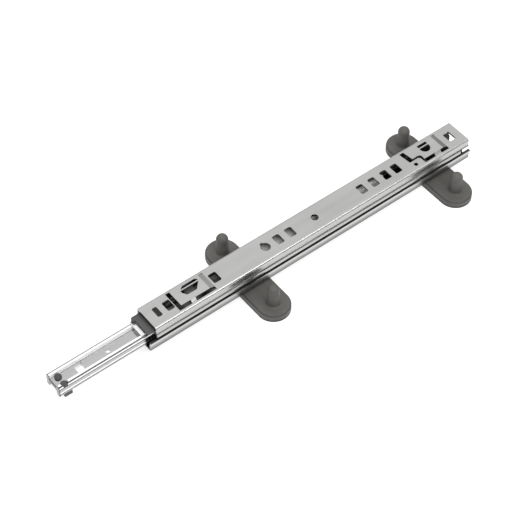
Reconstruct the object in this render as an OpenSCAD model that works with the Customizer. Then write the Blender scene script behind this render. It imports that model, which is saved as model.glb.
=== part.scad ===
// Two-way ball-bearing drawer slide: two lipped channel rails mouth to mouth, an H-shaped
// beam running on balls between them, and two moulded cross feet with domed pegs.
// +X points to the rear, -X is the direction in which the beam stands out, +Z is up.
// The origin is the centre of the front foot's underside.

/* [Rails] */
// Length of the upper (drawer) rail
drawer_rail_len = 310; // [255:1:380]
// Length of the lower (cabinet) rail
cabinet_rail_len = 318; // [262:1:390]
// Overall width of a rail across its ball races
rail_w = 27; // [22.5:0.1:33]
// Height of one rail from its web to its lips
rail_h = 10.4; // [8.6:0.1:12.6]
// Thickness of the rail sheet
sheet_t = 1.5; // [1.2:0.05:1.8]
// Gap between the lips of the two rails
rail_gap = 2.4; // [2:0.05:2.9]
// How far the drawer rail's front edge lies behind the cabinet rail's
drawer_setback = 6; // [4:0.5:8]

/* [Beam and balls] */
// Length of the H-shaped beam
beam_len = 318; // [265:1:390]
// How far the beam's tip stands ahead of the cabinet rail
beam_reach = 77.5; // [62:0.5:95]
// Diameter of the balls
ball_d = 3.97; // [3.3:0.01:4.8]
// Balls in each row
balls_per_row = 10; // [6:1:12]
// Thickness of the ball cage strip
cage_t = 0.9; // [0.7:0.05:1.1]

/* [Feet] */
// Distance between the two peg centres of a foot
peg_pitch = 64; // [53:0.5:80]
// Radius of the rounded ends of a foot
foot_r = 13.7; // [11.4:0.1:16.5]
// Thickness of a foot's pad
pad_t = 6.2; // [5:0.1:7.6]
// Diameter of a peg
peg_d = 9.8; // [8.1:0.1:11.8]
// Height of a peg's domed tip above the pad
peg_h = 19.8; // [16:0.1:24]
// Distance from the cabinet rail's front edge to the front foot
front_overhang = 100; // [82:1:120]
// Distance from the rear foot to the cabinet rail's rear edge
rear_overhang = 32; // [26:1:40]

/* [Hidden] */

$fn = 64;
eps = 0.01;
fit = 0.045;                 // running clearance of a ball
air = 0.4;                   // clearance between parts that pass each other
steel = [0.78, 0.78, 0.77];
bright_steel = [0.86, 0.86, 0.86];
plastic = [0.38, 0.37, 0.35];
dark_plastic = [0.24, 0.24, 0.24];

// heights, counted from the plane between the two rails
half_stack = rail_h + rail_gap / 2;
mid_z = pad_t + half_stack;
cavity = half_stack - sheet_t;             // plane to the inside of a rail's web

// the ball race
ball_r = ball_d / 2;
race_r = ball_r + fit;
race_out_r = race_r + sheet_t;
ball_y = rail_w / 2 - race_out_r;
pocket_r = ball_r + fit;
pocket_rim = 0.46;
cage_end = 0.28;                           // lowest edge of a cage leg above the plane
ball_z = cage_end + pocket_rim + pocket_r;

// rail section
flange_in = ball_y + 0.41 * race_r;
flange_out = flange_in + sheet_t;
lip_in = ball_y + 0.66 * race_r;
bend_r = sheet_t + 0.3;
flat_half = flange_out - bend_r;           // half width of the flat web

// beam section
beam_half = ball_y - 0.77 * race_r;
upper_h = ball_z + 0.75 * race_r;
lower_h = max(0.61 * cavity, ball_z + 0.8 * race_r);
beam_web_t = 1.5;
rim_w = 0.36 * beam_half;
rim_in = beam_half - rim_w;
rim_slope = 1;
rim_chamfer = 0.6;

// ball cages
leg_in = beam_half + 1.1;
leg_out = leg_in + cage_t;
web_air = 0.65;                            // beam to the flat of a cage
upper_cage_z = upper_h + web_air;
lower_cage_z = lower_h + web_air;
head_h = 0.5 * (cavity - lower_cage_z - cage_t);

// positions along the slide
cabinet_x = -front_overhang;
foot_pitch = cabinet_rail_len - front_overhang - rear_overhang;
drawer_x = cabinet_x + drawer_setback;
drawer_end = drawer_x + drawer_rail_len;
beam_x = cabinet_x - beam_reach;
cage_len = 0.49 * min(beam_len, drawer_rail_len);
lower_cage_mid = (cabinet_x + cabinet_rail_len / 2 + beam_x + beam_len / 2) / 2;
upper_cage_mid = (drawer_x + drawer_rail_len / 2 + beam_x + beam_len / 2) / 2;
ball_pitch = (cage_len - 4 * ball_d) / (balls_per_row - 1);

// openings of the drawer rail, from its front edge
through = 1;                               // how far a cutter passes the sheet
slot_len = 0.348 * rail_w;                 // across the rail
slot_w = 6.4;
narrow_slot_w = 4.3;
slot_corner = 1.3;
narrow_slot_x = drawer_x + 9.8;
front_slot_x = drawer_x + 20;
front_hook_x = drawer_x + 23.8;
square_x = drawer_x + 62.9;
square_w = 7;
rear_hook_x = drawer_end - 55.5;
rear_slot_x = drawer_end - 10.4;
// middle openings as fractions of the run between the two hook groups
run_x = square_x + square_w / 2;
run_len = rear_hook_x - run_x;
keyhole_at = 0.239;
keyhole_r = 4.1;
keyhole_bump_r = 1.6;
keyhole_bump_in = 0.4;
round_at = 0.496;
round_r = 3.1;
slots_at = [0.305, 0.368, 0.750, 0.814, 0.880, 0.938];

// hook bridges of the drawer rail
hook_half = 0.83 * flat_half;
hook_lift = 0.65 * sheet_t + 0.6;
hook_top = half_stack + hook_lift;
hook_gap = 1.7;
hook_near = hook_gap - hook_half;          // near edge of a bridge
hook_edge = hook_half + hook_gap / 2;      // half width of the opening under it
hook_slot = 3;                             // open length ahead of a bridge
hook_ramp = 4.5;
ramp_root = 1.4;                           // ramp end let into the web
front_plate = 29.5;
front_strap_x = 11.5;
front_strap = 4.4;
front_window_x = 10.2;
front_window = 17;
rear_plate = 32.1;
rear_strap_x = 22.5;
rear_strap = 6.4;
rear_window_x = 20.5;
rear_window_r = 4.6;
bar_half = 0.55;                           // lengthwise bar across a window

// tongue beside the rear bridge
tongue_len = 11.5;
tongue_far = -0.25 * hook_half;
tongue_corner = 2.5;
tongue_hole_x = 4;
tongue_hole_y = -0.74 * hook_half;
tongue_hole_r = 1.7;
tongue_gap = 0.9;
hook_skew = 2;                             // slant of the rear bridge's front edge

// beam openings, from its tip
beam_slot_x = beam_x + 23.4;
beam_slot_w = 6.6;
beam_hole_x = beam_x + 48.2;
beam_hole_r = 2.1;
stud_x = beam_x + 6.2;
stud_y = 0.465 * beam_half;
stud_shift = -1.7;                         // both studs lie to the near side
stud_r = 2.8;
stud_rim = 0.7;                            // sloped rim of a stud's head
stud_air = 0.3;
stud_top = beam_web_t + 1.8;
stud_neck_r = 1.5;
neck_share = 0.75;                         // a neck's offset as a share of its head's
rivet_r = 1.5;
rivet_count = 6;
rivet_end = 30;
beam_slot_corner = 0.8;

// windows of a ball cage's web
cage_window = 0.26 * cage_len;
cage_window_at = 0.315 * cage_len;
cage_window_half = leg_in - 1.6;
pocket_reach = 1;                          // pocket cutter past either face of the leg

// small parts
strap_reach = 49;                          // cage strap ahead of the balls' strip
strap_z = beam_web_t + 0.5;
strap_t = 0.8;
strap_bar = 3.4;                           // cross bar over the beam's rims at the strap's tip
strap_bar_z = upper_h + 0.31;
strap_bar_half = 0.86 * beam_half;
cage_lip = 1.6;                            // lip bent up at the front of the upper cage
strap_half = rim_in - rim_slope - air;
stop_t = sheet_t;
stop_half = 0.45 * flat_half;
stop_air = web_air + 0.1;
race_trim = 9;                             // race left out at the drawer rail's rear end
lip_tab_x = 262;                           // small tab on the cabinet rail's near lip
lip_tab_len = 3.2;
lip_tab_root = 0.3;
bumper_drop = 3.6;
bumper_len = 6.6;
bumper_back = 1.3;                         // block centre behind the studs
bumper_seat = 1;                           // bumper block let into the beam's hollow
stud_set = 0.5;                            // stud necks past the beam's webs
buffer_out = 6;
buffer_in = 13;
buffer_edge = 5;
buffer_step = 2.2;
buffer_low = strap_bar_z + strap_t + air;  // underside, clear of the strap's cross bar
buffer_boss = 0.6;
buffer_ear_r = 2.1;
foot_rivet_r = 2;
foot_rivet_y = 5;
foot_rivet_head_r = 3.4;
foot_rivet_depth = 0.65 * pad_t;
edge_r = 1.6;
peg_fillet = 1.8;

function stud_at(side) = stud_shift + side * stud_y;

// draws a (Y, Z) section along X, with Z counted from the plane between the rails
module along(x0, len) {
    translate([x0, 0, mid_z]) rotate([90, 0, 90]) linear_extrude(len) children();
}

module both_sides() {
    children();
    mirror([1, 0]) children();
}

module rounded(w, l, r) {
    for (sx = [-1, 1], sy = [-1, 1])
        translate([sx * (w / 2 - r), sy * (l / 2 - r)]) circle(r);
    square([w - 2 * r, l], center = true);
    square([w, l - 2 * r], center = true);
}

// the lipped channel, mouth down
module rail_section() {
    both_sides() difference() {
        union() {
            translate([-eps, half_stack - sheet_t]) square([flat_half + 2 * eps, sheet_t]);
            intersection() {
                translate([flat_half, half_stack - bend_r]) difference() {
                    circle(bend_r);
                    circle(bend_r - sheet_t);
                }
                translate([flat_half, half_stack - bend_r]) square(bend_r);
            }
            translate([flange_in, ball_z]) square([sheet_t, half_stack - bend_r - ball_z + eps]);
            intersection() {
                translate([ball_y, ball_z]) circle(race_out_r);
                union() {
                    translate([flange_in, ball_z]) square(rail_w);
                    translate([lip_in, rail_gap / 2]) square(rail_w);
                }
            }
        }
        translate([ball_y, ball_z]) circle(race_r);
    }
}

module beam_section(h) {
    both_sides() difference() {
        polygon([[-eps, 0], [beam_half, 0], [beam_half, h - rim_chamfer],
                 [beam_half - rim_chamfer, h], [rim_in, h],
                 [rim_in - rim_slope, beam_web_t], [-eps, beam_web_t]]);
        translate([ball_y, ball_z]) circle(race_r);
    }
}

module cage_section(web_z) {
    both_sides() {
        translate([-eps, web_z]) square([leg_out + eps, cage_t]);
        translate([leg_in, cage_end]) square([cage_t, web_z + cage_t - cage_end]);
    }
}

// a through opening in the beam's web or a rail's web
module drill(x, y, r, z0, z1) {
    translate([x, y, mid_z + z0]) cylinder(r = r, h = z1 - z0);
}

module row_of_balls(mid_x, side, level) {
    color(bright_steel) for (i = [0 : balls_per_row - 1])
        translate([mid_x + (i - (balls_per_row - 1) / 2) * ball_pitch,
                   side * ball_y, mid_z + level * ball_z]) sphere(ball_r);
}

module ball_cage(mid_x, web_z) {
    difference() {
        along(mid_x - cage_len / 2, cage_len) cage_section(web_z);
        for (i = [0 : balls_per_row - 1], side = [-1, 1])
            translate([mid_x + (i - (balls_per_row - 1) / 2) * ball_pitch,
                       side * (leg_in - pocket_reach), mid_z + ball_z])
                rotate([-90 * side, 0, 0])
                    cylinder(r = pocket_r, h = cage_t + 2 * pocket_reach);
        for (side = [-1, 1])
            translate([mid_x + side * cage_window_at, 0, mid_z + web_z - through])
                linear_extrude(cage_t + 2 * through)
                    rounded(cage_window, 2 * cage_window_half, slot_corner);
    }
}

// turns a part drawn above the plane to the same part below it
module below_plane() {
    translate([0, 0, 2 * mid_z]) mirror([0, 0, 1]) children();
}

// a flat bridge raised above the web, with its ramp at the rear; x = 0 at its opening's
// front edge, children are the windows cut through it
module hook_plate(len, outline_skew) {
    translate([0, 0, mid_z + hook_top - sheet_t]) difference() {
        linear_extrude(sheet_t)
            polygon([[hook_slot, hook_half], [hook_slot + outline_skew, hook_near],
                     [len, hook_near], [len, hook_half]]);
        translate([0, 0, -through]) linear_extrude(sheet_t + 2 * through) children();
    }
    translate([len, hook_half, mid_z]) rotate([90, 0, 0])
        linear_extrude(hook_half - hook_near)
            polygon([[-eps, hook_top - sheet_t], [-eps, hook_top], [hook_ramp, half_stack],
                     [hook_ramp + ramp_root, half_stack],
                     [hook_ramp + ramp_root, half_stack - sheet_t],
                     [hook_ramp - sheet_t / 2, half_stack - sheet_t]]);
}

// short strap from the bridge's near edge down to the web
module hook_strap(x, len) {
    along(x, len)
        polygon([[hook_near + eps, hook_top], [-hook_half, half_stack],
                 [-hook_half - hook_gap, half_stack],
                 [-hook_half - hook_gap, half_stack - sheet_t],
                 [-hook_half, half_stack - sheet_t], [hook_near + eps, hook_top - sheet_t]]);
}

module front_window() {
    x0 = front_window_x;
    x1 = front_window_x + front_window;
    difference() {
        polygon([[x0, 0.25 * hook_half], [x0, 0.53 * hook_half],
                 [x0 + 0.23 * front_window, 0.85 * hook_half],
                 [x1 - 0.1 * front_window, 0.85 * hook_half], [x1, 0.7 * hook_half],
                 [x1, 0.5 * hook_half], [x1 - 0.35 * front_window, -0.2 * hook_half],
                 [x0 + 0.15 * front_window, -0.2 * hook_half]]);
        translate([x0 - 1, 0.53 * hook_half - bar_half])
            square([front_window + 2, 2 * bar_half]);
    }
}

module rear_window() {
    r = rear_window_r;
    translate([rear_window_x, 0]) difference() {
        union() {
            translate([0, 0.24 * hook_half]) circle(r);
            translate([-r, 0.24 * hook_half]) square([2 * r, 0.54 * hook_half]);
        }
        translate([-2 * r, 0.43 * hook_half - bar_half]) square([4 * r, 2 * bar_half]);
        translate([-2 * r, 0.78 * hook_half]) square([4 * r, r]);
    }
}

// flat tongue left standing in the rear opening, wider by grow all round
module tongue(grow) {
    x1 = tongue_len + grow;
    y1 = tongue_far + grow;
    c = tongue_corner;
    translate([-through, -hook_edge - grow]) square([x1 + through - c, y1 + hook_edge + grow]);
    translate([-through, -hook_edge - grow]) square([x1 + through, y1 + hook_edge + grow - c]);
    translate([x1 - c, y1 - c]) circle(c);
}

module drawer_rail_openings() {
    for (x = [front_slot_x, rear_slot_x]) translate([x, 0]) rounded(slot_w, slot_len, slot_corner);
    translate([narrow_slot_x, 0]) rounded(narrow_slot_w, slot_len, slot_corner);
    translate([square_x, 0]) rounded(square_w, slot_len, slot_corner);
    for (f = slots_at)
        translate([run_x + f * run_len, 0]) rounded(slot_w, slot_len, slot_corner);
    translate([run_x + round_at * run_len, 0]) circle(round_r);
    translate([run_x + keyhole_at * run_len, 0]) circle(keyhole_r);
    translate([run_x + keyhole_at * run_len - keyhole_bump_r / 2, keyhole_r - keyhole_bump_in])
        circle(keyhole_bump_r);
    translate([front_hook_x, -hook_edge]) square([front_plate + hook_ramp, 2 * hook_edge]);
    translate([rear_hook_x, 0]) {
        difference() {
            polygon([[0, hook_edge], [hook_skew, -hook_edge],
                     [rear_plate + hook_ramp, -hook_edge], [rear_plate + hook_ramp, hook_edge]]);
            tongue(0);
        }
        translate([tongue_hole_x, tongue_hole_y]) circle(tongue_hole_r);
    }
}

module drawer_rail() {
    color(steel) {
        difference() {
            along(drawer_x, drawer_rail_len) rail_section();
            translate([0, 0, mid_z + cavity - through]) linear_extrude(sheet_t + 2 * through)
                drawer_rail_openings();
            // near race left out at the rear end
            translate([drawer_end - race_trim, -rail_w, mid_z])
                cube([race_trim + through, rail_w, ball_z + race_r]);
        }
        translate([front_hook_x, 0, 0]) hook_plate(front_plate, 0) front_window();
        hook_strap(front_hook_x + front_strap_x, front_strap);
        translate([rear_hook_x, 0, 0]) hook_plate(rear_plate, hook_skew) {
            rear_window();
            tongue(tongue_gap);
        }
        hook_strap(rear_hook_x + rear_strap_x, rear_strap);
        // stop tab bent down at the rear
        translate([drawer_end - stop_t, -stop_half, mid_z + upper_h + air])
            cube([stop_t, 2 * stop_half, half_stack - upper_h - air]);
    }
}

module cabinet_rail() {
    color(steel) {
        difference() {
            below_plane() along(cabinet_x, cabinet_rail_len) rail_section();
            for (x = [0, foot_pitch], side = [-1, 1])
                drill(x, side * foot_rivet_y, foot_rivet_r, -half_stack - through,
                      -cavity + through);
        }
        for (x = [cabinet_x, cabinet_x + cabinet_rail_len - stop_t])
            translate([x, -stop_half, mid_z - half_stack])
                cube([stop_t, 2 * stop_half, half_stack - lower_h - stop_air]);
        // tab standing up in the gap between the rails
        translate([cabinet_x + lip_tab_x, -ball_y - 1.45 * race_r,
                   mid_z - rail_gap / 2 - lip_tab_root])
            cube([lip_tab_len, 0.6 * race_r, lip_tab_root + 0.65 * rail_gap]);
    }
}

module beam_openings() {
    translate([beam_slot_x, 0, 0]) linear_extrude(2 * mid_z)
        rounded(beam_slot_w, 2 * (rim_in - rim_slope), beam_slot_corner);
    drill(beam_hole_x, 0, beam_hole_r, -beam_web_t - through, beam_web_t + through);
    for (side = [-1, 1]) {
        drill(stud_x, neck_share * stud_at(side), stud_neck_r + fit, -beam_web_t - through,
              beam_web_t + through);
        drill(stud_x, stud_at(side), stud_r + stud_air, beam_web_t, upper_h + through);
    }
    for (i = [0 : rivet_count - 1])
        drill(rivet_x(i), 0, rivet_r, -beam_web_t - through, beam_web_t + through);
}

function rivet_x(i) = beam_hole_x + rivet_end
    + i * (beam_len - (beam_hole_x - beam_x) - 1.5 * rivet_end) / (rivet_count - 1);

module beam_upper_profile() {
    color(bright_steel) difference() {
        along(beam_x, beam_len) beam_section(upper_h);
        beam_openings();
    }
}

module beam_lower_profile() {
    color(bright_steel) difference() {
        below_plane() along(beam_x, beam_len) beam_section(lower_h);
        beam_openings();
    }
}

module beam_rivets() {
    color(steel) for (i = [0 : rivet_count - 1])
        drill(rivet_x(i), 0, rivet_r - fit, -beam_web_t, beam_web_t);
}

module tip_bumper() {
    color(dark_plastic) {
        for (side = [-1, 1]) {
            drill(stud_x, stud_at(side), stud_r, beam_web_t, stud_top - stud_rim);
            translate([stud_x, stud_at(side), mid_z + stud_top - stud_rim])
                cylinder(r1 = stud_r, r2 = stud_r - stud_rim, h = stud_rim);
            drill(stud_x, neck_share * stud_at(side), stud_neck_r, -beam_web_t - stud_set,
                  beam_web_t + stud_set);
        }
        translate([stud_x + bumper_back - bumper_len / 2, -strap_half,
                   mid_z - lower_h - bumper_seat])
            cube([bumper_len, 2 * strap_half, lower_h + bumper_seat - beam_web_t]);
        translate([stud_x + bumper_back - bumper_len / 2, -beam_half, mid_z - lower_h - bumper_drop])
            cube([bumper_len, 2 * beam_half, bumper_drop]);
    }
}

module upper_cage() {
    front = upper_cage_mid - cage_len / 2;
    color(bright_steel) {
        ball_cage(upper_cage_mid, upper_cage_z);
        // strap lying in the beam's recess
        translate([front - strap_reach, -strap_half + air, mid_z + strap_z])
            cube([strap_reach + cage_t, 2 * (strap_half - air), strap_t]);
        // cross bar at its tip, joined by an upright
        translate([front - strap_reach, -strap_bar_half, mid_z + strap_bar_z])
            cube([strap_bar, 2 * strap_bar_half, strap_t]);
        translate([front - strap_reach + strap_bar - strap_t, -strap_half + air, mid_z + strap_z])
            cube([strap_t, 2 * (strap_half - air), strap_bar_z + strap_t - strap_z]);
        // upright and bent-up lip at the front of the ball strip
        translate([front, -strap_half + air, mid_z + strap_z])
            cube([cage_t, 2 * (strap_half - air), upper_cage_z + cage_t + cage_lip - strap_z]);
    }
}

module lower_cage() {
    color(bright_steel) below_plane() ball_cage(lower_cage_mid, lower_cage_z);
}

module front_buffer() {
    half = leg_out - air;
    color(dark_plastic) {
        translate([drawer_x - buffer_out, -half, mid_z + buffer_low])
            cube([buffer_out + buffer_in, 2 * half, cavity - buffer_step - buffer_low]);
        translate([drawer_x + buffer_edge, -half, mid_z + buffer_low])
            cube([buffer_in - buffer_edge, 2 * half, cavity - buffer_low]);
        // rounded ear at the far front corner
        translate([drawer_x - buffer_out, half - buffer_ear_r, mid_z + buffer_low])
            cylinder(r = buffer_ear_r, h = (cavity - buffer_low) / 2);
        // snap boss in the front slot of the rail
        translate([narrow_slot_x, 0, mid_z + cavity - through])
            linear_extrude(sheet_t + buffer_boss)
                rounded(narrow_slot_w - 2 * fit, slot_len - 2 * fit, slot_corner - fit);
    }
}

module foot_profile() {
    // half section of the pad's rounded end, from its axis outwards
    square([foot_r, pad_t - edge_r]);
    square([foot_r - edge_r, pad_t]);
    translate([foot_r - edge_r, pad_t - edge_r]) circle(edge_r);
}

module foot(x) {
    peg_r = peg_d / 2;
    translate([x, 0, 0]) difference() {
        union() {
            for (side = [-1, 1]) translate([0, side * peg_pitch / 2, 0]) {
                rotate_extrude() foot_profile();
                cylinder(r = peg_r, h = pad_t + peg_h - peg_r);
                translate([0, 0, pad_t + peg_h - peg_r]) sphere(peg_r);
                translate([0, 0, pad_t]) rotate_extrude() difference() {
                    square([peg_r + peg_fillet, peg_fillet]);
                    translate([peg_r + peg_fillet, peg_fillet]) circle(peg_fillet);
                }
            }
            rotate([90, 0, 0]) linear_extrude(peg_pitch, center = true)
                both_sides() foot_profile();
        }
        for (side = [-1, 1])
            translate([0, side * foot_rivet_y, pad_t - foot_rivet_depth])
                cylinder(r = foot_rivet_r, h = foot_rivet_depth + 1);
    }
}

module foot_front() {
    color(plastic) foot(0);
}

module foot_rear() {
    color(plastic) foot(foot_pitch);
}

module foot_rivets() {
    color(steel) for (x = [0, foot_pitch], side = [-1, 1])
        translate([x, side * foot_rivet_y, 0]) {
            translate([0, 0, pad_t - foot_rivet_depth + air])
                cylinder(r = foot_rivet_r - fit, h = foot_rivet_depth + sheet_t - air + eps);
            translate([0, 0, pad_t + sheet_t])
                cylinder(r1 = foot_rivet_head_r, r2 = foot_rivet_r, h = head_h);
        }
}

cabinet_rail();
foot_front();
foot_rear();
foot_rivets();
lower_cage();
row_of_balls(lower_cage_mid, -1, -1);  // lower_balls_near
row_of_balls(lower_cage_mid, 1, -1);  // lower_balls_far
beam_upper_profile();
beam_lower_profile();
beam_rivets();
tip_bumper();
upper_cage();
row_of_balls(upper_cage_mid, -1, 1);  // upper_balls_near
row_of_balls(upper_cage_mid, 1, 1);  // upper_balls_far
drawer_rail();
front_buffer();
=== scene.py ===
"""Looks, light and camera for a ball-bearing drawer slide on two moulded feet."""

import math

import bpy
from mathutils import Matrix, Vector

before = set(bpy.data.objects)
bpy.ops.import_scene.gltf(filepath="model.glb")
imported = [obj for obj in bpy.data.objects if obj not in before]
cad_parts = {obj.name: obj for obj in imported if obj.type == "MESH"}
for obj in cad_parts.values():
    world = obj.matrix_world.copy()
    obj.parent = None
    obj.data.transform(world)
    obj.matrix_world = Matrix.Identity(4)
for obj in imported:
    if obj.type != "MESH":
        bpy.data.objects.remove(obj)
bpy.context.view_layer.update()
MM = 0.001
MICRON = 0.000001

# Camera: direction and distance from which the slide is seen
CAM_AZIMUTH = math.radians(-38.02)
CAM_ELEVATION = math.radians(50.56)
CAM_DISTANCE = 1268.2 * MM
CAM_TARGET = Vector((14.8, 3.5, 12.2)) * MM
CAM_FOCAL = 114.0
CAM_SENSOR = 36.0
CAM_REACH = 20

# Room round the slide: how far its brightness leans to the far side, and its levels
WORLD_LEAN = 0.3
WORLD_LEVELS = ((0.0, 0.06), (0.3, 0.10), (0.5, 0.42), (0.7, 0.74), (0.92, 0.82), (1.0, 0.9))
WORLD_STRENGTH = 1.3

# Soft boxes: place and size in metres, power in watts
OVERHEAD = {"place": (-0.2, -0.35, 1.6), "size": (1.8, 1.8), "power": 8}
NEAR_SIDE = {"place": (0.1, -1.0, 1.25), "size": (1.8, 0.5), "power": 13}

# Floor: edge in metres, cells along an edge, and the glow that keeps it pale
FLOOR_SIZE = 8
FLOOR_CELLS = 8
FLOOR_GLOW = 0.66

# Rails: heights of their outer faces, half width inside the channel, half height of the
# painted shade on the lips beside the gap, and the front mouth
RAIL_TOP = 29.4 * MM
RAIL_BOTTOM = 6.2 * MM
SHEET = 1.5 * MM
CHANNEL_HALF = 10.9 * MM
MID_PLANE = 17.8 * MM
LIP_SHADE_HALF = 1.65 * MM
MOUTH_X = -96 * MM

# Ball rows: their place beside and above the mid-plane, and the races' radius
BALL_Y = 9.94 * MM
BALL_Z = 2.77 * MM
RACE_R = 2.15 * MM

# Beam: half widths of its web and of the whole, its edges and its front end
WEB_HALF = 4.4 * MM
BEAM_HALF = 8.38 * MM
BEAM_TOP = MID_PLANE + 4.38 * MM
BEAM_BOTTOM = MID_PLANE - 6.2 * MM
BEAM_FRONT = -177.5 * MM

# Painted shade on the beam: depth of its race flanks and grooves, width of the outer edges of
# its rims, and the painted shade lines' distance from the ball row and half width
FLANK_DEPTH = 0.6 * MM
GROOVE_DEPTH = 0.5 * MM
RIM_EDGE = 1.2 * MM
LINE_RISE = 1.3 * MM
LINE_HALF = 0.22 * MM

# Feet: height of the pad's top face, radius of its rounded edge, and how far up from the
# floor the painted contact shade on its foot reaches
PAD_TOP = 6.2 * MM
PAD_EDGE_R = 1.6 * MM
CONTACT_SHADE_BAND = (0.4 * MM, 2.2 * MM)

# Painted shade on the cabinet rail's flanges lifts to a painted highlight between these
# heights
FLANGE_SHADE_BAND = (RAIL_BOTTOM + 2.6 * MM, RAIL_BOTTOM + 8 * MM)

# Painted shade and grease film start this far behind the rails' mouth, and thin out further
# back
BEAM_GREASE_SHADE_START = (MOUTH_X, MOUTH_X + 4 * MM)
CAGE_GREASE_SHADE_START = (MOUTH_X - 1 * MM, MOUTH_X + 2 * MM)
BUMPER_SHADE_START = (MOUTH_X, MOUTH_X + 5 * MM)
GREASE_SHADE_END = (-38 * MM, -12 * MM)

# Share of a rail's sheet that counts as its inside face
INNER_SHARE = 0.7

# Tones: the share of a surface's own brightness that is left under a mark; all but the web's
# are painted shade, and the flanges' upper tone is a painted highlight
DRAWER_INSIDE_SHADE = 0.12
CABINET_INSIDE_SHADE = 0.10
BEAM_INSIDE_SHADE = 0.14
CAGE_INSIDE_SHADE = 0.14
BUMPER_INSIDE_SHADE = 0.2
FLANGE_SHADE_TONES = (0.40, 1.15)
WEB_TONE = 0.52
FLANK_SHADE = 0.5
RACE_LINE_SHADE = 0.35
TOP_EDGE_SHADE = 0.12
LOW_EDGE_SHADE = 0.45
CUT_END_SHADE = 0.25
DEEP_CAGE_SHADE = 0.55
PAD_EDGE_SHADE = 0.5
CONTACT_SHADE_TONE = 0.05

# Grease: how much it roughens, and how much lighter the thin patches of painted shade under
# it are
GREASE_ROUGHNESS = 0.25
SHADE_PATCH_LIGHTER = 1.7

# Changes of roughness over mottling, grain and rubbed patches, and the balls' roughness
MOTTLE_ROUGHNESS = (-0.05, 0.07)
GRAIN_ROUGHNESS = (-0.04, 0.04)
RUB_ROUGHNESS = (0.06, -0.08)
BALL_ROUGHNESS = (0.06, 0.16)

# Scuffs on plastic: how much lighter they are, and how much of them covers the colour
SCUFF_LIGHTER = 1.8
SCUFF_COVER = 0.35

# Share of bright metal where white passivation lies thick
PASSIVATED = 0.2

# Noises, with features per metre and how each axis is stretched
GRAIN = {"scale": 900, "stretch": (0.03, 1, 1), "detail": 3}
STREAK = {"scale": 160, "stretch": (0.06, 1, 1), "detail": 4}
CLOUD = {"scale": 38, "stretch": (0.5, 1, 1), "detail": 5, "roughness": 0.6}
PITS = {"scale": 2600, "detail": 2}
GREASE_SHADE_PATCHES = {"scale": 120, "detail": 3}
SMEAR = {"scale": 420, "detail": 3}
POLISH = {"scale": 3000, "detail": 2}
SPARK_SKIN = {"scale": 2200, "detail": 3, "roughness": 0.6}
FLOW = {"scale": 55, "stretch": (1, 0.5, 1), "detail": 4}
SCUFF = {"scale": 330, "stretch": (1, 0.18, 1), "detail": 6, "roughness": 0.7}
PAPER = {"scale": 3}

# Parts of a noise's range over which a mark changes
NOISE_SPAN = (0.3, 0.7)
TONE_SPAN = (0.32, 0.68)
GRAIN_SPAN = (0.2, 0.8)
SCUFF_SPAN = (0.60, 0.78)
RUB_SPAN = (0.35, 0.75)

# Colours, as the darkest and the lightest patch of each material
RAIL_PLATING = ((0.43, 0.43, 0.425), (0.51, 0.51, 0.505))
BEAM_PLATING = ((0.84, 0.84, 0.84), (0.93, 0.93, 0.93))
CAGE_PLATING = ((0.78, 0.78, 0.78), (0.88, 0.88, 0.88))
RIVET_STEEL = ((0.58, 0.58, 0.57), (0.70, 0.70, 0.69))
BALL_STEEL = ((0.62, 0.62, 0.63), (0.74, 0.74, 0.75))
FOOT_PLASTIC = ((0.082, 0.079, 0.074), (0.112, 0.108, 0.101))
BUMPER_PLASTIC = ((0.045, 0.045, 0.045), (0.075, 0.075, 0.074))
FLOOR_PAPER = ((0.50, 0.50, 0.50), (0.52, 0.52, 0.52))

BEAM_NODES = ("beam_upper_profile", "beam_lower_profile")
CAGE_NODES = ("upper_cage", "lower_cage")
BALL_NODES = ("upper_balls_near", "upper_balls_far", "lower_balls_near", "lower_balls_far")
RIVET_NODES = ("beam_rivets", "foot_rivets")
FOOT_NODES = ("foot_front", "foot_rear")
RUBBER_NODES = ("tip_bumper", "front_buffer")


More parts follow.
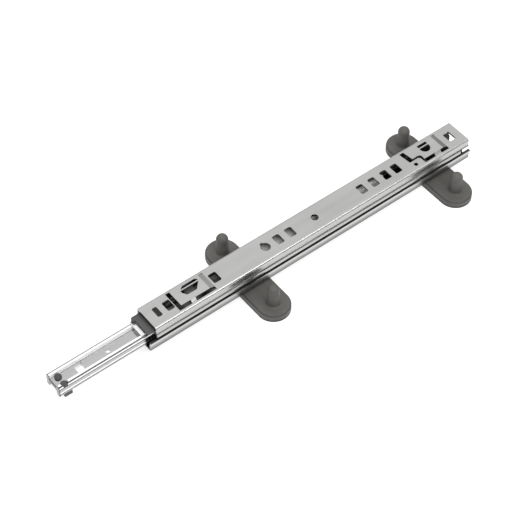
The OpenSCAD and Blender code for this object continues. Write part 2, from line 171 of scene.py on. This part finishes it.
class Value:
    """A number that varies over a surface, with the node maths it can take part in."""

    def __init__(self, tree, socket):
        self.tree = tree
        self.socket = socket

    def maths(self, operation, first, second=0):
        """One maths node; each term is a Value or a plain number."""
        node = self.tree.nodes.new("ShaderNodeMath")
        node.operation = operation
        for socket, term in zip(node.inputs, (first, second)):
            if isinstance(term, Value):
                self.tree.links.new(term.socket, socket)
            else:
                socket.default_value = term
        return Value(self.tree, node.outputs["Value"])

    def __add__(self, other):
        return self.maths("ADD", self, other)

    def __sub__(self, other):
        return self.maths("SUBTRACT", self, other)

    def __rsub__(self, other):
        return self.maths("SUBTRACT", other, self)

    def __mul__(self, other):
        return self.maths("MULTIPLY", self, other)

    def __abs__(self):
        return self.maths("ABSOLUTE", self)

    def root(self):
        return self.maths("SQRT", self)

    def above(self, level):
        """1 where the value is above the level, and 0 elsewhere."""
        return self.maths("GREATER_THAN", self, level)

    def below(self, level):
        """1 where the value is below the level, and 0 elsewhere."""
        return self.maths("LESS_THAN", self, level)

    def either(self, other):
        """The larger of two values, so one mark or the other."""
        return self.maths("MAXIMUM", self, other)

    def remap(self, low, high, to_low, to_high):
        """The range from low to high, carried over to another one and held at its ends."""
        node = self.tree.nodes.new("ShaderNodeMapRange")
        node.inputs["From Min"].default_value = low
        node.inputs["From Max"].default_value = high
        node.inputs["To Min"].default_value = to_low
        node.inputs["To Max"].default_value = to_high
        self.tree.links.new(self.socket, node.inputs["Value"])
        return Value(self.tree, node.outputs["Result"])

    def faded(self, tone):
        """A mark's share turned into the tone left under it."""
        return self.remap(0, 1, 1, tone)

    def ramp(self, stops):
        """Colour along the value; each stop is a place and its colour."""
        node = self.tree.nodes.new("ShaderNodeValToRGB")
        elements = node.color_ramp.elements
        for element, (place, colour) in zip(elements, (stops[0], stops[-1])):
            element.position = place
            element.color = (*colour, 1)
        for place, colour in stops[1:-1]:
            elements.new(place).color = (*colour, 1)
        self.tree.links.new(self.socket, node.inputs["Fac"])
        return node.outputs["Color"]


def split_axes(tree, vector):
    """The three parts of a vector as Values."""
    parts = tree.nodes.new("ShaderNodeSeparateXYZ")
    tree.links.new(vector, parts.inputs["Vector"])
    return [Value(tree, parts.outputs[axis]) for axis in "XYZ"]


class Material:
    """A Principled material in the making, over the object's own coordinates in metres."""

    def __init__(self, name):
        self.material = bpy.data.materials.new(name)
        self.material.use_nodes = True
        self.tree = self.material.node_tree
        self.shader = self.tree.nodes["Principled BSDF"]
        self.coords = self.tree.nodes.new("ShaderNodeTexCoord").outputs["Object"]
        self.x, self.y, self.z = split_axes(self.tree, self.coords)
        self.side = abs(self.y)
        self.from_middle = abs(self.z - MID_PLANE)

    def noise(self, scale, stretch=(1, 1, 1), detail=4.0, roughness=0.55):
        mapping = self.tree.nodes.new("ShaderNodeMapping")
        mapping.inputs["Scale"].default_value = stretch
        self.tree.links.new(self.coords, mapping.inputs["Vector"])
        texture = self.tree.nodes.new("ShaderNodeTexNoise")
        texture.inputs["Scale"].default_value = scale
        texture.inputs["Detail"].default_value = detail
        texture.inputs["Roughness"].default_value = roughness
        self.tree.links.new(mapping.outputs["Vector"], texture.inputs["Vector"])
        return Value(self.tree, texture.outputs["Fac"])

    def mix(self, share, first, second, blend="MIX"):
        """Two colours mixed; each term is a node's output, a Value or plain numbers."""
        node = self.tree.nodes.new("ShaderNodeMix")
        node.data_type = "RGBA"
        node.blend_type = blend
        for name, term in (("Factor", share), ("A", first), ("B", second)):
            if isinstance(term, Value):
                self.tree.links.new(term.socket, node.inputs[name])
            elif isinstance(term, bpy.types.NodeSocket):
                self.tree.links.new(term, node.inputs[name])
            elif name == "Factor":
                node.inputs[name].default_value = term
            else:
                node.inputs[name].default_value = (*term, 1)
        return node.outputs["Result"]

    def scaled(self, colour, factor):
        """A colour multiplied by a value that varies over the surface."""
        grey = self.tree.nodes.new("ShaderNodeCombineColor")
        for channel in ("Red", "Green", "Blue"):
            self.tree.links.new(factor.socket, grey.inputs[channel])
        return self.mix(1.0, colour, grey.outputs["Color"], "MULTIPLY")

    def set_colour(self, colour):
        self.tree.links.new(colour, self.shader.inputs["Base Color"])

    def set_value(self, name, value):
        self.tree.links.new(value.socket, self.shader.inputs[name])

    def set_bump(self, *layers):
        """Each layer is a height and its depth in metres, stacked into one normal."""
        normal = None
        for height, depth in layers:
            node = self.tree.nodes.new("ShaderNodeBump")
            node.inputs["Distance"].default_value = depth
            node.inputs["Strength"].default_value = 1.0
            self.tree.links.new(height.socket, node.inputs["Height"])
            if normal:
                self.tree.links.new(normal, node.inputs["Normal"])
            normal = node.outputs["Normal"]
        self.tree.links.new(normal, self.shader.inputs["Normal"])


def patched(value, span, colours):
    """Colour that runs from a material's darkest patch to its lightest over the span."""
    return value.ramp(tuple(zip(span, colours)))


def plated_steel(name, colours, roughness, grain_depth, shade=None, metal=None):
    """Zinc-plated rolled steel: lengthwise grain, soft mottling and fine pits.

    shade(material) may return a factor that paints shade and light into the colour and a
    share of dull grease film.
    metal(material) may return the share of bright metal, the rest being white passivation.
    """
    m = Material(name)
    grain = m.noise(**GRAIN)
    streak = m.noise(**STREAK)
    cloud = m.noise(**CLOUD)
    pits = m.noise(**PITS)
    colour = patched(streak * 0.5 + cloud * 0.5, TONE_SPAN, colours)
    rough = (cloud.remap(*NOISE_SPAN, *MOTTLE_ROUGHNESS)
             + grain.remap(*GRAIN_SPAN, *GRAIN_ROUGHNESS) + roughness)
    if shade:
        factor, grease_and_shade = shade(m)
        colour = m.scaled(colour, factor)
        rough = rough + grease_and_shade * GREASE_ROUGHNESS
    m.set_colour(colour)
    m.set_value("Roughness", rough)
    m.shader.inputs["Metallic"].default_value = 1.0
    if metal:
        m.set_value("Metallic", metal(m))
    m.set_bump((grain, grain_depth), (pits, grain_depth / 2))
    return m.material


def inside_channel(m, web_face, opens_up):
    """1 inside a rail's channel, in its ball races and on its lips beside the gap, and 0
    outside; there shade is painted and grease lies.
    """
    beyond_web = m.z.above(web_face) if opens_up else m.z.below(web_face)
    in_channel = m.side.below(CHANNEL_HALF) * beyond_web
    across = m.side - BALL_Y
    upward = m.z - (MID_PLANE - BALL_Z if opens_up else MID_PLANE + BALL_Z)
    in_race = (across * across + upward * upward).root().below(RACE_R)
    # painted shade on the lips beside the gap, widening its dark line
    lip_shade = m.from_middle.below(LIP_SHADE_HALF)
    return lip_shade.either(in_channel.either(in_race))


def shade_under_grease(m, grease_and_shade, tone):
    """Painted shade under a grease film as a colour factor, broken up by a slow noise."""
    patches = m.noise(**GREASE_SHADE_PATCHES).remap(*NOISE_SPAN, tone, tone * SHADE_PATCH_LIGHTER)
    return (1 - grease_and_shade) + grease_and_shade * patches


def past_front_shade(m):
    """0 where painted shade and grease lie just behind the rails' mouth, and 1 further back.
    """
    return m.x.remap(*GREASE_SHADE_END, 0, 1)


def drawer_rail_shade(m):
    """Painted shade and a grease film on the inside; the outside is clean."""
    grease_and_shade = inside_channel(m, RAIL_TOP - INNER_SHARE * SHEET, False)
    return shade_under_grease(m, grease_and_shade, DRAWER_INSIDE_SHADE), grease_and_shade


def cabinet_rail_shade(m):
    """Painted shade and a grease film on the inside; painted shade darkens the outer flanges
    towards the floor, and a painted highlight lifts them higher up.
    """
    grease_and_shade = inside_channel(m, RAIL_BOTTOM + INNER_SHARE * SHEET, True)
    # painted shade low on the outer flanges, lifting to a painted highlight higher up
    flange_shading = m.z.remap(*FLANGE_SHADE_BAND, *FLANGE_SHADE_TONES)
    return shade_under_grease(m, grease_and_shade, CABINET_INSIDE_SHADE) * flange_shading, grease_and_shade


def beam_shade(m):
    """Painted shade inside the rails under the grease, a darker web, and painted shade on the
    flanks, edges and race grooves.
    """
    grease_and_shade = m.x.remap(*BEAM_GREASE_SHADE_START, 0, 1)
    on_flank = m.side.above(BEAM_HALF - FLANK_DEPTH)
    # painted shade on the beam inside the rails, under the grease film
    grease_shade_mask = grease_and_shade * on_flank.either(1 - past_front_shade(m))
    web = m.side.remap(WEB_HALF, WEB_HALF + 0.3 * MM, WEB_TONE, 1.0)
    # painted shade on the flanks, in the race grooves, along the rims' top edges, towards the
    # underside and on the cut front end
    flank_shading = m.side.remap(BEAM_HALF - 0.25 * MM, BEAM_HALF - 0.1 * MM, 1.0, FLANK_SHADE)
    in_groove = m.side.remap(BEAM_HALF - GROOVE_DEPTH, BEAM_HALF - 0.6 * GROOVE_DEPTH, 0, 1)
    from_balls = abs(m.from_middle - BALL_Z)
    race_shade_lines = in_groove * abs(from_balls - LINE_RISE).below(LINE_HALF)
    top_edge_shading = m.z.above(BEAM_TOP - 0.2 * MM) * m.side.above(BEAM_HALF - RIM_EDGE)
    low_edge_shading = m.z.remap(BEAM_BOTTOM, BEAM_BOTTOM + 1.2 * MM, LOW_EDGE_SHADE, 1.0)
    cut_end_shading = m.x.remap(BEAM_FRONT + 0.6 * MM, BEAM_FRONT + 1.0 * MM, CUT_END_SHADE, 1.0)
    faces = web * flank_shading * race_shade_lines.faded(RACE_LINE_SHADE)
    edge_shading = low_edge_shading * cut_end_shading * top_edge_shading.faded(TOP_EDGE_SHADE)
    return shade_under_grease(m, grease_shade_mask, BEAM_INSIDE_SHADE) * (faces * edge_shading), grease_and_shade


def beam_metal(m):
    """White passivation lies on the rims' slopes, and past the grease on all but flanks."""
    in_front = m.x.below(MOUTH_X + 2 * MM)
    on_slope = m.side.above(WEB_HALF + 0.1 * MM) * m.side.below(BEAM_HALF - RIM_EDGE)
    off_flank = m.side.below(BEAM_HALF - FLANK_DEPTH)
    white = (on_slope * in_front).either(past_front_shade(m) * off_flank)
    return white.faded(PASSIVATED)


def cage_shade(m):
    """Painted shade and a grease film on the strips just inside the rails, and painted shade
    further back; the straps in front stay clean.
    """
    grease_and_shade = m.x.remap(*CAGE_GREASE_SHADE_START, 0, 1) * (1 - past_front_shade(m))
    # painted shade under the grease, and deeper painted shade further back
    return shade_under_grease(m, grease_and_shade, CAGE_INSIDE_SHADE) * past_front_shade(m).faded(DEEP_CAGE_SHADE), grease_and_shade


def cage_metal(m):
    """White passivation shows where the cages' strips are free of grease."""
    return past_front_shade(m).faded(PASSIVATED)


def polished_steel(name):
    """Hardened balls: near mirrors with a faint smear."""
    m = Material(name)
    smear = m.noise(**SMEAR)
    m.set_colour(patched(smear, NOISE_SPAN, BALL_STEEL))
    m.set_value("Roughness", smear.remap(*NOISE_SPAN, *BALL_ROUGHNESS))
    m.shader.inputs["Metallic"].default_value = 1.0
    m.set_bump((m.noise(**POLISH), 2 * MICRON))
    return m.material


def moulded_plastic(name, colours, roughness, texture_depth, shade):
    """Matte moulding: fine spark-eroded texture, faint flow clouds and scuffs.

    shade(material) returns a factor that paints shade into the colour.
    """
    m = Material(name)
    skin = m.noise(**SPARK_SKIN)
    flow = m.noise(**FLOW)
    scuff = m.noise(**SCUFF)
    scuffed = scuff.remap(*SCUFF_SPAN, 0, SCUFF_COVER)
    lighter = tuple(min(1, channel * SCUFF_LIGHTER) for channel in colours[1])
    colour = m.mix(scuffed, patched(flow, NOISE_SPAN, colours), lighter)
    m.set_colour(m.scaled(colour, shade(m)))
    m.set_value("Roughness", scuff.remap(*RUB_SPAN, *RUB_ROUGHNESS) + roughness)
    m.shader.inputs["Specular IOR Level"].default_value = 0.35
    m.set_bump((skin, texture_depth))
    return m.material


def bumper_shade(m):
    """Painted shade darkens the bumpers behind the rails' mouth."""
    return m.x.remap(*BUMPER_SHADE_START, 1.0, BUMPER_INSIDE_SHADE)


def foot_shade(m):
    """Painted shade along a foot's rounded edge, and painted contact shade where it stands on
    the floor.
    """
    # painted contact shade near the floor, and a painted shade line along the rounded edge
    contact_shading = m.z.remap(*CONTACT_SHADE_BAND, CONTACT_SHADE_TONE, 1.0)
    from_edge = abs(m.z - (PAD_TOP - 0.3 * PAD_EDGE_R))
    return contact_shading * from_edge.remap(0.1 * PAD_EDGE_R, 0.3 * PAD_EDGE_R, PAD_EDGE_SHADE, 1.0)


def dress(names, material):
    for name in names:
        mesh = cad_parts[name].data
        mesh.materials.clear()
        mesh.materials.append(material)


def make_materials():
    dress(("drawer_rail",), plated_steel(
        "drawer rail plating", RAIL_PLATING, roughness=0.30, grain_depth=6 * MICRON,
        shade=drawer_rail_shade))
    dress(("cabinet_rail",), plated_steel(
        "cabinet rail plating", RAIL_PLATING, roughness=0.30, grain_depth=6 * MICRON,
        shade=cabinet_rail_shade))
    dress(BEAM_NODES, plated_steel(
        "beam plating", BEAM_PLATING, roughness=0.22, grain_depth=2 * MICRON,
        shade=beam_shade, metal=beam_metal))
    dress(CAGE_NODES, plated_steel(
        "cage plating", CAGE_PLATING, roughness=0.26, grain_depth=5 * MICRON,
        shade=cage_shade, metal=cage_metal))
    dress(RIVET_NODES, plated_steel(
        "rivet steel", RIVET_STEEL, roughness=0.34, grain_depth=6 * MICRON))
    dress(BALL_NODES, polished_steel("ball steel"))
    dress(FOOT_NODES, moulded_plastic(
        "foot plastic", FOOT_PLASTIC, roughness=0.55, texture_depth=40 * MICRON,
        shade=foot_shade))
    dress(RUBBER_NODES, moulded_plastic(
        "bumper plastic", BUMPER_PLASTIC, roughness=0.5, texture_depth=30 * MICRON,
        shade=bumper_shade))


def make_floor():
    bpy.ops.mesh.primitive_grid_add(
        x_subdivisions=FLOOR_CELLS, y_subdivisions=FLOOR_CELLS, size=FLOOR_SIZE)
    floor = bpy.context.object
    floor.name = "floor"
    m = Material("floor paper")
    m.set_colour(patched(m.noise(**PAPER), NOISE_SPAN, FLOOR_PAPER))
    m.shader.inputs["Roughness"].default_value = 0.9
    m.shader.inputs["Specular IOR Level"].default_value = 0.1
    m.shader.inputs["Emission Color"].default_value = (1, 1, 1, 1)
    m.shader.inputs["Emission Strength"].default_value = FLOOR_GLOW
    floor.data.materials.append(m.material)


def make_room():
    """A dark wall round a bright ceiling, as in a room with soft boxes above."""
    world = bpy.data.worlds.new("studio")
    bpy.context.scene.world = world
    world.use_nodes = True
    tree = world.node_tree
    direction = tree.nodes.new("ShaderNodeTexCoord").outputs["Generated"]
    _, far, up = split_axes(tree, direction)
    stops = [(place, (level, level, level)) for place, level in WORLD_LEVELS]
    brightness = (far * WORLD_LEAN + up).ramp(stops)
    background = tree.nodes["Background"]
    tree.links.new(brightness, background.inputs["Color"])
    background.inputs["Strength"].default_value = WORLD_STRENGTH


def add_soft_box(name, place, size, power):
    """A rectangular lamp that faces the front foot."""
    light = bpy.data.lights.new(name, "AREA")
    light.shape = "RECTANGLE"
    light.size, light.size_y = size
    light.energy = power
    lamp = bpy.data.objects.new(name, light)
    lamp.location = place
    lamp.rotation_euler = (-Vector(place)).to_track_quat("-Z", "Y").to_euler()
    bpy.context.scene.collection.objects.link(lamp)


def make_camera():
    out = Vector((math.sin(CAM_AZIMUTH) * math.cos(CAM_ELEVATION),
                  -math.cos(CAM_AZIMUTH) * math.cos(CAM_ELEVATION),
                  math.sin(CAM_ELEVATION)))
    camera = bpy.data.objects.new("camera", bpy.data.cameras.new("camera"))
    camera.data.lens = CAM_FOCAL
    camera.data.sensor_width = CAM_SENSOR
    camera.data.clip_end = CAM_REACH
    camera.location = CAM_TARGET + out * CAM_DISTANCE
    camera.rotation_euler = (-out).to_track_quat("-Z", "Y").to_euler()
    bpy.context.scene.collection.objects.link(camera)
    bpy.context.scene.camera = camera


make_camera()
make_materials()
make_floor()
make_room()
add_soft_box("overhead", **OVERHEAD)
add_soft_box("near side", **NEAR_SIDE)
bpy.context.scene.view_settings.view_transform = "Standard"
